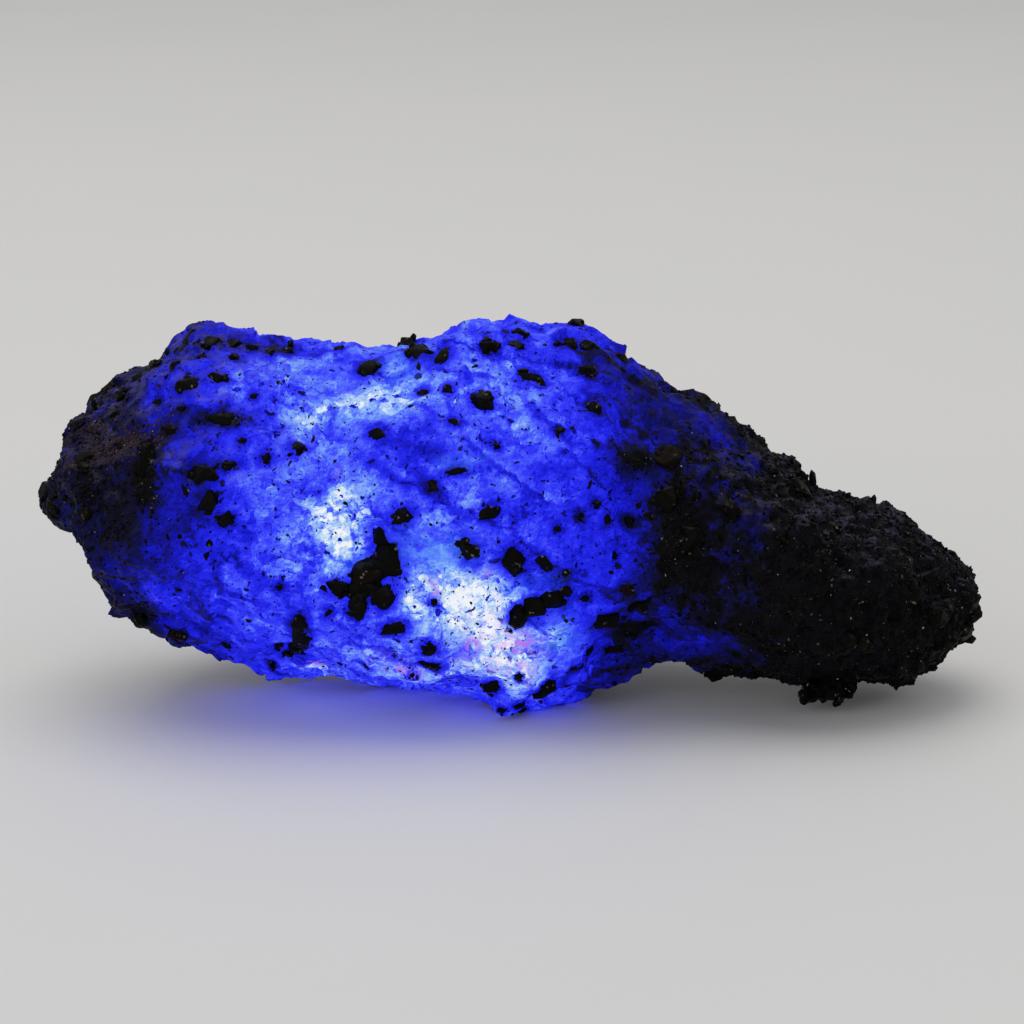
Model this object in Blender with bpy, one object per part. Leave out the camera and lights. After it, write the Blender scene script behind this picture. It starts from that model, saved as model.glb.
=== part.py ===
"""A rough sapphire: one long, weathered lump of blue corundum, studded with black mineral grains and
crusted with them at its right end. It lies on a small flat spot under its middle.
Frame: X along the stone, -Y towards the viewer, +Z up, the origin on the ground under the middle."""

import math
import random

import bmesh
import bpy
import numpy as np
from mathutils import Matrix, Vector, noise
from mathutils.bvhtree import BVHTree

MM = 0.001  # every size below is in millimetres, and is turned to metres as a mesh is made

HALF_LENGTH = 37.8
RINGS = 200  # along the stone
SPOKES = 150  # around the stone
BODY_FACES = 4600  # triangles left on the body once its flat chips are found

# The stone's outline: x, keel height, ridge height, front y, back y, and how far ridge and keel lean back
STATIONS = (
    (-37.8, 17.0, 17.0, 0.0, 0.0, 0.0, 0.0),
    (-36.6, 14.8, 19.7, -3.8, 3.8, 0.3, 0.0),
    (-35.1, 13.6, 22.2, -5.8, 6.0, 0.8, 0.0),
    (-33.5, 12.4, 25.8, -7.2, 7.6, 1.2, 0.0),
    (-31.6, 7.6, 25.2, -8.6, 9.4, 1.8, 0.0),
    (-28.0, 4.7, 28.2, -10.4, 11.4, 2.2, 0.5),
    (-24.0, 2.7, 30.3, -11.6, 12.6, 2.4, 1.2),
    (-20.0, 1.1, 29.8, -12.4, 12.9, 1.8, 2.5),
    (-14.0, 0.5, 29.0, -12.9, 12.2, 0.6, 4.0),
    (-8.0, -0.9, 30.0, -13.2, 11.6, 0.2, 4.0),
    (-6.2, -1.0, 30.0, -13.3, 11.7, 0.4, 3.6),
    (-4.2, -1.1, 30.9, -13.4, 11.8, 0.8, 2.6),
    (0.0, -1.2, 30.1, -13.0, 12.4, 1.6, -2.0),
    (3.5, -0.7, 29.4, -12.4, 12.9, 2.2, -1.9),
    (7.0, -0.2, 28.7, -11.5, 13.1, 2.6, -2.3),
    (10.4, 1.2, 26.2, -10.8, 12.6, 2.4, -1.0),
    (15.0, 1.4, 23.3, -10.4, 11.0, 1.6, 0.0),
    (20.0, 1.6, 20.3, -10.2, 9.8, 1.2, 0.0),
    (25.7, 1.4, 16.5, -9.4, 8.6, 1.2, 0.0),
    (30.5, 1.4, 14.5, -8.0, 7.4, 1.0, 0.0),
    (34.0, 2.2, 12.0, -5.8, 5.6, 0.6, 0.0),
    (36.6, 5.4, 10.6, -3.2, 3.4, 0.3, 0.0),
    (37.8, 8.4, 8.4, 0.0, 0.0, 0.0, 0.0),
)
WAIST = 0.42  # height of the widest line, as a share of each section
TOP_POWER = 0.86  # 1 is an ellipse, less is boxier, and 2 would be a straight slope
KEEL_POWER = 1.3

# Crests (plus) and folds (minus) that run along the surface: height, reach, then the points of the line
CRESTS = (
    (1.1, 1.9, (-34.0, -6.5, 19.5), (-28.5, -10.5, 20.5), (-20.5, -12.0, 21.8), (-14.5, -11.5, 20.5)),
    (1.3, 1.9, (9.5, -9.5, 21.5), (23.0, -9.5, 14.5), (33.5, -6.5, 9.0)),
    (-0.8, 1.6, (-7.5, 1.0, 29.5), (-8.0, -4.0, 28.0), (-10.5, -11.0, 21.0)),
    (-1.2, 1.9, (9.5, -9.0, 5.0), (12.5, -10.5, 12.0), (11.0, -10.0, 19.0)),
    (-0.9, 1.5, (-14.0, -12.5, 16.0), (-2.0, -12.5, 12.5), (6.0, -11.0, 11.5)),
    (-1.3, 2.0, (-18.0, 12.5, 24.0), (-12.0, 13.0, 14.0), (-14.0, 9.0, 4.0)),
    (1.0, 1.9, (-4.0, 11.0, 24.0), (6.0, 13.0, 15.0), (18.0, 10.0, 10.0)),
)

# Hollows (minus) and swellings (plus): height, reach, and the place
SWELLINGS = (
    (-1.0, 6.5, (-22.0, -12.0, 10.5)),
    (0.9, 4.5, (-30.5, -9.0, 15.5)),
    (-0.8, 4.9, (-12.5, -6.0, 29.0)),
    (0.9, 4.9, (-1.0, -12.0, 18.0)),
    (0.8, 4.1, (-7.0, -12.5, 8.0)),
    (0.9, 3.4, (1.5, -8.0, 2.5)),
    (0.7, 4.9, (24.0, -9.0, 9.0)),
    (-1.4, 6.5, (-27.0, 11.0, 20.0)),
    (1.0, 4.9, (-26.0, 10.0, 9.0)),
    (-1.2, 4.9, (12.0, 11.0, 19.0)),
    (0.8, 4.1, (26.0, 8.0, 8.0)),
)

CHIP_SEED = 5
CHIPS = 170
CHIP_REACH = (4.0, 8.0)
CHIP_WHOLE = 0.6  # a chip is flat over this share of its reach, and dies out beyond it
CHIP_DEPTH = 0.085  # as a share of the reach
LUMP_SIZE = 9.0
LUMP_HEIGHT = 1.0
KNOB_SIZE = 3.4
KNOB_HEIGHT = 0.55
CALM_TIP = 4.0  # the lumps fade out over this length at each tip

CRUST_STARTS = 8.0  # x where the black crust begins
CRUST_IS_WHOLE = 19.0
CRUST_EDGE_SIZE = 5.0  # its edge wanders by about the sway over this distance
CRUST_EDGE_SWAY = 3.0
CRUST_CELL = 1.9
CRUST_HEIGHT = 0.85
CRUST_LEVEL = 0.45  # distance from a cell's middle, in cells, at which the crust is level with the stone

# The front view, in which the grains' places are given: the eye stands in front of the stone and above it
VIEW_RISE = math.radians(16.0)
VIEW_DISTANCE = 226.4
VIEW_MIDDLE = Vector((0.1, 0.0, 15.3))

# Black grains on the front, as seen: right of and above the view's middle, length, width, tilt in degrees
FRONT_GRAINS = (
    (-9.6, -3.9, 4.6, 2.9, 80),
    (-11.5, -5.2, 4.0, 3.0, 15),
    (-10.4, -2.0, 1.8, 1.5, 70),
    (-10.2, -6.8, 2.6, 1.9, 15),
    (-12.2, -7.3, 2.4, 1.8, 70),
    (-13.9, -6.1, 2.2, 1.4, -20),
    (-16.8, -9.9, 3.4, 1.7, 80),
    (-18.6, -10.6, 1.4, 0.9, 90),
    (3.0, -7.2, 3.9, 1.5, 25),
    (0.5, -8.3, 2.2, 1.8, 60),
    (4.2, -6.4, 1.4, 0.9, 20),
    (0.1, -3.8, 2.9, 1.9, -55),
    (-3.6, -3.1, 2.4, 1.4, -60),
    (-23.9, 0.6, 2.4, 2.1, 30),
    (-22.8, -0.6, 1.5, 1.3, 0),
    (-25.7, 10.2, 2.3, 1.4, 10),
    (-23.4, 10.7, 1.8, 1.0, -15),
    (-1.9, 12.9, 2.1, 1.8, 80),
    (-5.5, 12.4, 2.0, 1.1, 90),
    (-7.4, 12.7, 2.4, 1.9, -60),
    (-8.5, 13.7, 1.6, 1.3, 20),
    (-11.4, 11.5, 1.6, 1.4, 60),
    (0.4, 13.2, 1.4, 1.0, 10),
    (1.4, 10.8, 2.2, 0.9, 10),
    (-8.8, -0.3, 1.8, 1.3, 15),
    (-1.6, 0.0, 1.7, 1.1, 10),
    (-23.1, 7.4, 3.4, 1.1, -5),
    (-17.1, 5.0, 1.6, 1.2, -30),
    (-10.6, 6.2, 1.7, 1.1, -30),
    (-24.8, 3.1, 2.4, 1.3, -20),
    (-22.8, 3.7, 2.1, 0.9, 5),
    (-27.2, 6.5, 1.9, 0.9, -10),
    (-28.9, 4.2, 3.2, 2.0, 80),
    (9.2, -0.8, 1.3, 1.1, -30),
    (2.6, -4.3, 1.5, 0.9, -60),
    (9.1, -6.2, 1.3, 1.0, 0),
    (-9.3, -9.3, 2.7, 1.1, 15),
    (-6.4, -12.2, 1.8, 1.3, 20),
    (-6.5, -10.9, 1.3, 1.2, 0),
    (2.9, -14.1, 2.2, 1.2, 10),
    (7.5, -8.8, 2.2, 1.3, 0),
    (4.4, 13.5, 2.0, 0.9, -5),
    (6.1, 13.2, 1.7, 0.9, -10),
    (5.8, 11.2, 1.8, 1.2, -10),
    (9.5, 12.4, 1.5, 1.0, -45),
    (6.6, 8.3, 1.5, 0.9, -30),
    (12.3, 1.0, 2.6, 2.2, 0),
    (13.9, -2.6, 2.8, 2.0, 70),
    (12.6, 4.4, 2.6, 2.0, -20),
    (24.0, 3.0, 1.9, 1.0, 80),
    (28.6, 0.5, 1.6, 1.1, 60),
    (36.7, -7.3, 2.2, 1.6, 30),
    (36.1, -9.7, 1.8, 1.3, 10),
    (-33.0, 9.2, 1.4, 0.7, 60),
    (-37.2, 1.8, 2.0, 1.6, 80),
    (-36.6, 0.4, 1.8, 1.4, 50),
    (-10.5, -4.6, 3.6, 3.0, 45),
)

# The lump of black grains that hangs under the right end and touches the ground: x, y, z, radius
LOW_LUMP = (
    (23.9, -5.0, 1.6, 1.6),
    (25.4, -4.8, 1.7, 1.7),
    (26.6, -4.7, 2.1, 1.3),
    (25.0, -3.4, 1.7, 1.6),
)

GRAIN_SEED = 11
GRAIN_CORNERS = 9
GRAIN_TURN = math.radians(137.5)  # each corner stands this far round from the last, which spreads them evenly
GRAIN_STANDS = 0.75  # height of a grain as a share of its width
GRAIN_SUNK = 0.32  # how deep its middle lies under the surface, as a share of its height

SCATTER_SEED = 1100
SCATTER_TRIES = 230
SCATTER_LENGTH = (1.0, 2.4)
SCATTER_WIDTH = (0.6, 0.95)  # as a share of the length
FEW = 0.12  # share of the tries that leave a grain on the blue faces
HALF = 0.5  # and on the left tip's crust
LEFT_CRUST_ENDS = -30.0
CLEAR_OF_GROUND = 1.7  # scattered grains stay this far above the ground

GROUND_CUT = 10.0  # thickness of the slab that cuts the flat spot


def clear_scene():
    for obj in list(bpy.data.objects):
        bpy.data.objects.remove(obj, do_unlink=True)


def new_collection(name):
    made = bpy.data.collections.new(name)
    bpy.context.scene.collection.children.link(made)
    return made


def stone_material(name, colour, roughness):
    material = bpy.data.materials.new(name)
    material.use_nodes = True
    shader = material.node_tree.nodes["Principled BSDF"]
    shader.inputs["Base Color"].default_value = (*colour, 1.0)
    shader.inputs["Roughness"].default_value = roughness
    shader.inputs["Metallic"].default_value = 0.0
    return material


def smooth_step(value, low, high):
    share = np.clip((value - low) / (high - low), 0.0, 1.0)
    return share * share * (3.0 - 2.0 * share)


def through_stations(angle):
    """Each column of STATIONS as a smooth curve, read at an angle that runs from 0 at the left tip to pi."""
    table = np.array(STATIONS)
    knots = np.arccos(np.clip(-table[:, 0] / HALF_LENGTH, -1.0, 1.0))
    values = table[:, 1:]
    slopes = np.gradient(values, knots, axis=0)
    slopes[0] = (values[1] - values[0]) / (knots[1] - knots[0])
    slopes[-1] = (values[-1] - values[-2]) / (knots[-1] - knots[-2])
    left = np.clip(np.searchsorted(knots, angle, side="right") - 1, 0, len(knots) - 2)
    width = (knots[left + 1] - knots[left])[:, None]
    t = (angle - knots[left])[:, None] / width
    return (
        (2 * t**3 - 3 * t**2 + 1) * values[left]
        + (t**3 - 2 * t**2 + t) * width * slopes[left]
        + (3 * t**2 - 2 * t**3) * values[left + 1]
        + (t**3 - t**2) * width * slopes[left + 1]
    )


def on_section(angle, around):
    """Points on the smooth stone. around is 0 at the back, a quarter turn at the ridge and a half at the front."""
    keel, ridge, front, back, ridge_lean, keel_lean = through_stations(angle).T
    power = np.where(np.sin(around) > 0, TOP_POWER, KEEL_POWER)
    outward = np.sign(np.cos(around)) * np.abs(np.cos(around)) ** power
    upward = np.sign(np.sin(around)) * np.abs(np.sin(around)) ** power
    waist = keel + WAIST * (ridge - keel)
    middle = (front + back) / 2
    y = middle + np.abs(outward) * np.where(outward > 0, back - middle, front - middle)
    y += np.where(upward > 0, ridge_lean, keel_lean) * upward**2
    z = waist + np.abs(upward) * np.where(upward > 0, ridge - waist, keel - waist)
    return np.stack([-HALF_LENGTH * np.cos(angle), y, z], axis=1)


def bend(points, normals, _):
    """Raises the crests and swellings, and sinks the folds and hollows."""
    for height, reach, *line in CRESTS:
        away = np.full(len(points), np.inf)
        for start, end in zip(line, line[1:]):
            start, along = np.array(start), np.subtract(end, start)
            share = np.clip((points - start) @ along / (along @ along), 0.0, 1.0)
            away = np.minimum(away, np.linalg.norm(points - start - np.outer(share, along), axis=1))
        points += normals * (height * np.exp(-away / reach))[:, None]
    for height, reach, place in SWELLINGS:
        away = np.linalg.norm(points - place, axis=1) / reach
        points += normals * (height * np.exp(-(away**2)))[:, None]
    return points


def struck_vertex(ball, dice):
    """The vertex nearest to a random spot of the first sphere."""
    level = dice.uniform(-1.0, 1.0)
    turn = dice.uniform(0.0, math.tau)
    ring = math.sqrt(1.0 - level * level)
    return int(np.argmax(ball @ (ring * math.cos(turn), ring * math.sin(turn), level)))


def chip(points, normals, ball):
    """Strikes flat chips off the stone, each by a plane a little under the surface."""
    dice = random.Random(CHIP_SEED)
    struck = [struck_vertex(ball, dice) for _ in range(CHIPS)]
    struck_at, struck_normal = points[struck].copy(), normals[struck].copy()
    for place, normal in zip(struck_at, struck_normal):
        reach = dice.uniform(*CHIP_REACH)
        offset = points - place
        over = offset @ normal + reach * CHIP_DEPTH
        near = 1.0 - smooth_step(np.linalg.norm(offset, axis=1), reach * CHIP_WHOLE, reach)
        points -= np.outer(np.clip(over, 0.0, None) * near, normal)
    return points


def crust_share(points):
    """How much of the surface is black crust: all of it at the right end, and none on the blue middle."""
    edge = CRUST_EDGE_SWAY * np.array([noise.noise(Vector(p) / CRUST_EDGE_SIZE) for p in points])
    return smooth_step(points[:, 0] + edge, CRUST_STARTS, CRUST_IS_WHOLE)


def roughen(points, normals, _):
    """Broad lumps, smaller knobs, and on the crust a bed of close-set grains."""
    lumps = np.array([noise.noise(Vector(p) / LUMP_SIZE) for p in points])
    knobs = np.array([noise.fractal(Vector(p) / KNOB_SIZE, 1.0, 2.2, 3) for p in points])
    cells = np.array([noise.voronoi(Vector(p) / CRUST_CELL)[0][0] for p in points])
    height = LUMP_HEIGHT * lumps + KNOB_HEIGHT * knobs
    height += CRUST_HEIGHT * crust_share(points) * (CRUST_LEVEL - cells)
    calm_tips = smooth_step(HALF_LENGTH - np.abs(points[:, 0]), 0.0, CALM_TIP)
    return points + normals * (height * calm_tips)[:, None]


def places_and_normals(bm):
    bm.normal_update()
    return np.array([v.co for v in bm.verts]), np.array([v.normal for v in bm.verts])


def move_to(bm, points):
    for vertex, point in zip(bm.verts, points):
        vertex.co = point


def shaped_body():
    """A sphere, its upper pole laid over to the right tip, drawn out to the stations and then worked over."""
    bm = bmesh.new()
    bmesh.ops.create_uvsphere(bm, u_segments=SPOKES, v_segments=RINGS, radius=1.0)
    ball = np.array([v.co for v in bm.verts])
    angle = np.arccos(np.clip(-ball[:, 2], -1.0, 1.0))
    around = np.arctan2(ball[:, 1], ball[:, 0])
    move_to(bm, on_section(angle, around))
    for work in (bend, chip, roughen):
        move_to(bm, work(*places_and_normals(bm), ball))
    bmesh.ops.triangulate(bm, faces=bm.faces)
    return bm, ball


def add_grain(bm, place, out, along, length, width, dice):
    """One angular crystal: the hull of a few corners spread over an ellipsoid, sunk in the surface."""
    side = out.cross(along).normalized()
    along = side.cross(out).normalized()
    height = width * GRAIN_STANDS
    centre = place - out * height * GRAIN_SUNK
    turn = dice.uniform(0.0, math.tau)
    corners = []
    for k in range(GRAIN_CORNERS):
        level = 1.0 - 2.0 * (k + 0.5) / GRAIN_CORNERS
        ring = math.sqrt(1.0 - level * level)
        spin = turn + k * GRAIN_TURN + dice.uniform(-0.3, 0.3)
        grow = dice.uniform(0.85, 1.15)
        corner = (
            centre
            + along * math.cos(spin) * ring * length * 0.5 * grow
            + side * math.sin(spin) * ring * width * 0.5 * grow
            + out * level * height * grow
        )
        corners.append(bm.verts.new(corner))
    hull = bmesh.ops.convex_hull(bm, input=corners)
    inside = [v for v in hull["geom_interior"] if isinstance(v, bmesh.types.BMVert)]
    bmesh.ops.delete(bm, geom=inside, context="VERTS")


def front_view_frame():
    """The eye's place, and the view's directions right and up."""
    towards_eye = Vector((0.0, -math.cos(VIEW_RISE), math.sin(VIEW_RISE)))
    up = Vector((0.0, math.sin(VIEW_RISE), math.cos(VIEW_RISE)))
    return VIEW_MIDDLE + towards_eye * VIEW_DISTANCE, Vector((1.0, 0.0, 0.0)), up


def seen_on(tree, across, above):
    """Where the sight line through a place in the front view meets the stone, and the way out there."""
    eye, right, up = front_view_frame()
    sight = (VIEW_MIDDLE + right * across + up * above - eye).normalized()
    place, out, _, _ = tree.ray_cast(eye, sight)
    if place is None:  # just off the outline: the nearest of the stone
        place, out, _, _ = tree.find_nearest(eye + sight * VIEW_DISTANCE)
    return place, out


def front_grains(bm, tree, dice):
    _, right, up = front_view_frame()
    for across, above, length, width, tilt in FRONT_GRAINS:
        place, out = seen_on(tree, across, above)
        along = right * math.cos(math.radians(tilt)) + up * math.sin(math.radians(tilt))
        add_grain(bm, place, out, along, length, width, dice)


def scattered_grains(bm, body, ball):
    """Grains all round the stone: close together on the crust and the left tip, few on the blue faces."""
    points, normals = places_and_normals(body)
    crust = crust_share(points)
    for k in range(SCATTER_TRIES):
        dice = random.Random(SCATTER_SEED + k)
        struck = struck_vertex(ball, dice)
        place, out = Vector(points[struck]), Vector(normals[struck])
        crowd = HALF if place.x < LEFT_CRUST_ENDS else max(FEW, crust[struck])
        if dice.random() > crowd or place.z < CLEAR_OF_GROUND:
            continue
        length = dice.uniform(*SCATTER_LENGTH)
        along = Vector([dice.uniform(-1.0, 1.0) for _ in range(3)])
        add_grain(bm, place, out, along, length, length * dice.uniform(*SCATTER_WIDTH), dice)


def low_lump(bm, dice):
    down = Vector((0.0, 0.0, -1.0))
    for x, y, z, radius in LOW_LUMP:
        along = Vector((dice.uniform(-1.0, 1.0), dice.uniform(-1.0, 1.0), 0.2))
        add_grain(bm, Vector((x, y, z)), down, along, 2 * radius, 2 * radius, dice)


def to_object(bm, name, collection):
    """The millimetre mesh as an object in metres."""
    bmesh.ops.transform(bm, matrix=Matrix.Scale(MM, 4), verts=bm.verts)
    mesh = bpy.data.meshes.new(name)
    bm.to_mesh(mesh)
    bm.free()
    made = bpy.data.objects.new(name, mesh)
    collection.objects.link(made)
    return made


def as_helper(obj):
    obj.hide_render = True
    obj.display_type = "WIRE"
    return obj


def ground_slab(collection):
    """A slab whose top is the ground: it cuts the flat spot that the stone rests on."""
    bm = bmesh.new()
    bmesh.ops.create_cube(bm, size=1.0)
    bmesh.ops.scale(bm, vec=(4 * HALF_LENGTH, 2 * HALF_LENGTH, GROUND_CUT), verts=bm.verts)
    bmesh.ops.translate(bm, vec=(0.0, 0.0, -GROUND_CUT / 2), verts=bm.verts)
    return as_helper(to_object(bm, "ground_slab", collection))


def build_stone():
    parts = new_collection("rough_sapphire")
    helpers = new_collection("cutters")
    body, ball = shaped_body()

    dice = random.Random(GRAIN_SEED)
    grains = bmesh.new()
    front_grains(grains, BVHTree.FromBMesh(body), dice)
    low_lump(grains, dice)
    scattered_grains(grains, body, ball)
    grains = as_helper(to_object(grains, "black_grains", helpers))

    share = BODY_FACES / len(body.faces)
    stone = to_object(body, "rough_sapphire", parts)
    stone.data.materials.append(stone_material("sapphire", (0.035, 0.045, 0.62), 0.45))

    thin = stone.modifiers.new("flat chips", "DECIMATE")
    thin.ratio = share
    join = stone.modifiers.new("join the grains", "BOOLEAN")
    join.operation = "UNION"
    join.solver = "EXACT"
    join.use_self = True
    join.object = grains
    flat = stone.modifiers.new("flat spot", "BOOLEAN")
    flat.operation = "DIFFERENCE"
    flat.solver = "EXACT"
    flat.object = ground_slab(helpers)
    return stone


clear_scene()
build_stone()
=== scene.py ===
import math
import random

import bmesh
import bpy
import numpy as np
from mathutils import Matrix, Quaternion, Vector, noise
from mathutils.bvhtree import BVHTree
from mathutils.kdtree import KDTree


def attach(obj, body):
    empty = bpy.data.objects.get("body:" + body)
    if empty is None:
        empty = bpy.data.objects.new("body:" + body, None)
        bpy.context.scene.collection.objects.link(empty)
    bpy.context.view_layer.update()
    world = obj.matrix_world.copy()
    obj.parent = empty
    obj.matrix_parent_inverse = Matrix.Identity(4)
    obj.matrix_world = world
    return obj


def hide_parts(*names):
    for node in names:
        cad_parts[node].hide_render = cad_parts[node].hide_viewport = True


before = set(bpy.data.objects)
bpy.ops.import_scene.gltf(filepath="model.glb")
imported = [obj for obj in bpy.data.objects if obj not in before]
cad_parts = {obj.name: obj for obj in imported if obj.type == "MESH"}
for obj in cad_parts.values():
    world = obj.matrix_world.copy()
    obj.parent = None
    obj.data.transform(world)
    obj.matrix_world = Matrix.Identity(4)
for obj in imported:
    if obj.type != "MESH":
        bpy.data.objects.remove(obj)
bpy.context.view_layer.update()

# The table, the light and the camera.
# A matt pale table under soft studio light. The camera stands in front of the stone with a long lens and
# looks down on it a little. Sizes are millimetres, and are turned to metres as each thing is made.
MM = 0.001
TABLE_REACH = 2600.0
TABLE_BELOW = 0.05  # the table's top lies this far under the stone, so that their faces don't coincide
TABLE_GREY = (0.80, 0.79, 0.775)
SKY_GREY = (0.97, 0.98, 1.0)
SKY_STRENGTH = 0.485
VIEW_RISE = math.radians(16.0)
VIEW_DISTANCE = 226.4
VIEW_MIDDLE = Vector((0.1, 0.0, 15.3))
VIEW_LENS = 100.0


class Finish:
    """One material. Nodes are added by kind, and wired by the names or numbers of their inputs."""

    def __init__(self, name):
        self.material = bpy.data.materials.new(name)
        self.material.use_nodes = True
        self.tree = self.material.node_tree
        self.shader = self.tree.nodes["Principled BSDF"]
        place = self.node("TexCoord").outputs["Object"]
        self.at = self.node("VectorMath", {0: place, "Scale": 1 / MM}, operation="SCALE").outputs[0]

    def wire(self, node, inputs):
        for key, value in inputs.items():
            if isinstance(value, bpy.types.NodeSocket):
                self.tree.links.new(value, node.inputs[key])
            else:
                node.inputs[key].default_value = value

    def node(self, kind, inputs=None, **settings):
        made = self.tree.nodes.new("ShaderNode" + kind)
        for key, value in settings.items():
            setattr(made, key, value)
        self.wire(made, inputs or {})
        return made

    def math(self, operation, first, second=0.0, third=0.0):
        inputs = {0: first, 1: second, 2: third}
        return self.node("Math", inputs, operation=operation).outputs[0]

    def sum_of(self, *terms):
        """Adds sockets, each given alone or as (socket, factor, shift)."""
        total = None
        for term in terms:
            socket, factor, shift = term if isinstance(term, tuple) else (term, 1.0, 0.0)
            part = self.math("MULTIPLY_ADD", socket, factor, shift)
            total = part if total is None else self.math("ADD", total, part)
        return total

    def times(self, first, *others):
        for other in others:
            first = self.math("MULTIPLY", first, other)
        return first

    def drawn(self, name):
        """A value that the mesh carries at each of its points."""
        return self.node("Attribute", attribute_name=name).outputs["Fac"]

    def grain(self, size, detail=3.0, roughness=0.55, at=None):
        """Noise whose features are about this many millimetres across. It runs from 0 to 1."""
        inputs = {"Vector": at or self.at, "Scale": 1 / size, "Detail": detail, "Roughness": roughness}
        return self.node("TexNoise", inputs).outputs["Fac"]

    def cells(self, size, feature="F1", at=None):
        inputs = {"Vector": at or self.at, "Scale": 1 / size}
        return self.node("TexVoronoi", inputs, feature=feature)

    def fade(self, value, low, high, to_low=0.0, to_high=1.0):
        inputs = {"Value": value, "From Min": low, "From Max": high, "To Min": to_low, "To Max": to_high}
        return self.node("MapRange", inputs, interpolation_type="SMOOTHSTEP").outputs["Result"]

    def blend(self, share, first, second, way="MIX"):
        made = self.node("Mix", data_type="RGBA", blend_type=way)
        self.wire(made, {0: share, 6: first, 7: second})
        return made.outputs[2]

    def ramp(self, value, stops):
        made = self.node("ValToRGB", {"Fac": value})
        row = made.color_ramp.elements
        while len(row) < len(stops):
            row.new(1.0)
        for mark, (place, colour) in zip(row, stops):
            mark.position = place
            mark.color = colour
        return made.outputs["Color"]

    def bumped(self, height, depth, strength=1.0):
        inputs = {"Height": height, "Distance": depth * MM, "Strength": strength}
        return self.node("Bump", inputs).outputs["Normal"]


def linear(red, green, blue):
    """A colour given as 0 to 255 on screen, as the renderer's own linear values."""
    def one(value):
        value /= 255
        return value / 12.92 if value <= 0.04045 else ((value + 0.055) / 1.055) ** 2.4
    return (one(red), one(green), one(blue), 1.0)


def to_object(bm, name, material):
    """The millimetre mesh as an object in metres."""
    bmesh.ops.transform(bm, matrix=Matrix.Scale(MM, 4), verts=bm.verts)
    mesh = bpy.data.meshes.new(name)
    bm.to_mesh(mesh)
    bm.free()
    mesh.materials.append(material)
    made = bpy.data.objects.new(name, mesh)
    bpy.context.scene.collection.objects.link(made)
    return made


def table_finish():
    """Matt board, very slightly uneven."""
    look = Finish("pale_board")
    uneven = look.grain(60.0, 4.0)
    pale = look.blend(look.fade(uneven, 0.35, 0.65), (*TABLE_GREY, 1.0), linear(230, 229, 227))
    look.wire(look.shader, {"Base Color": pale, "Roughness": 0.85, "Specular IOR Level": 0.25})
    look.wire(look.shader, {"Normal": look.bumped(look.grain(0.7, 2.0), 0.03, 0.4)})
    return look.material


bm = bmesh.new()
bmesh.ops.create_grid(bm, x_segments=1, y_segments=1, size=TABLE_REACH)
bmesh.ops.translate(bm, vec=(0.0, 0.0, -TABLE_BELOW), verts=bm.verts)
to_object(bm, "table", table_finish())


def soft_light(name, place, size, power, colour):
    """A square lamp that faces the stone. Its place and size are in millimetres."""
    data = bpy.data.lights.new(name, "AREA")
    data.size = size * MM
    data.energy = power
    data.color = colour
    lamp = bpy.data.objects.new(name, data)
    lamp.location = Vector(place) * MM
    lamp.rotation_euler = (-Vector(place)).to_track_quat("-Z", "Y").to_euler()
    bpy.context.scene.collection.objects.link(lamp)


soft_light("overhead", (-120.0, 60.0, 700.0), 620.0, 1.7, (1.0, 0.985, 0.96))
soft_light("front_fill", (-420.0, -520.0, 330.0), 380.0, 0.6, (0.95, 0.97, 1.0))

sky = bpy.data.worlds.new("soft_room")
bpy.context.scene.world = sky
sky.use_nodes = True
sky.node_tree.nodes["Background"].inputs["Color"].default_value = (*SKY_GREY, 1.0)
sky.node_tree.nodes["Background"].inputs["Strength"].default_value = SKY_STRENGTH
bpy.context.scene.view_settings.view_transform = "Standard"


def viewer(turn=0.0):
    """Eye, right and up for someone who walks round the stone by turn degrees from the photograph's place."""
    walk = Matrix.Rotation(math.radians(turn), 3, "Z")
    towards = walk @ Vector((0.0, -math.cos(VIEW_RISE), math.sin(VIEW_RISE)))
    up = walk @ Vector((0.0, math.sin(VIEW_RISE), math.cos(VIEW_RISE)))
    return VIEW_MIDDLE + towards * VIEW_DISTANCE, walk @ Vector((1.0, 0.0, 0.0)), up


lens = bpy.data.cameras.new("camera")
lens.lens = VIEW_LENS
lens.sensor_width = 36.0
lens.clip_start = 0.01
camera = bpy.data.objects.new("camera", lens)
camera.location = viewer()[0] * MM
camera.rotation_euler = (math.pi / 2 - VIEW_RISE, 0.0, 0.0)
bpy.context.scene.collection.objects.link(camera)
bpy.context.scene.camera = camera


# The stone.
# One lump of blue corundum, weathered round and chipped. Its painted glow is emission, for light from below
# spread through it. A sphere is drawn out to the stone's outline, then bent, chipped and weathered.
HALF_LENGTH = 37.8
RINGS = 416  # along the stone
SPOKES = 228  # around the stone

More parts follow.
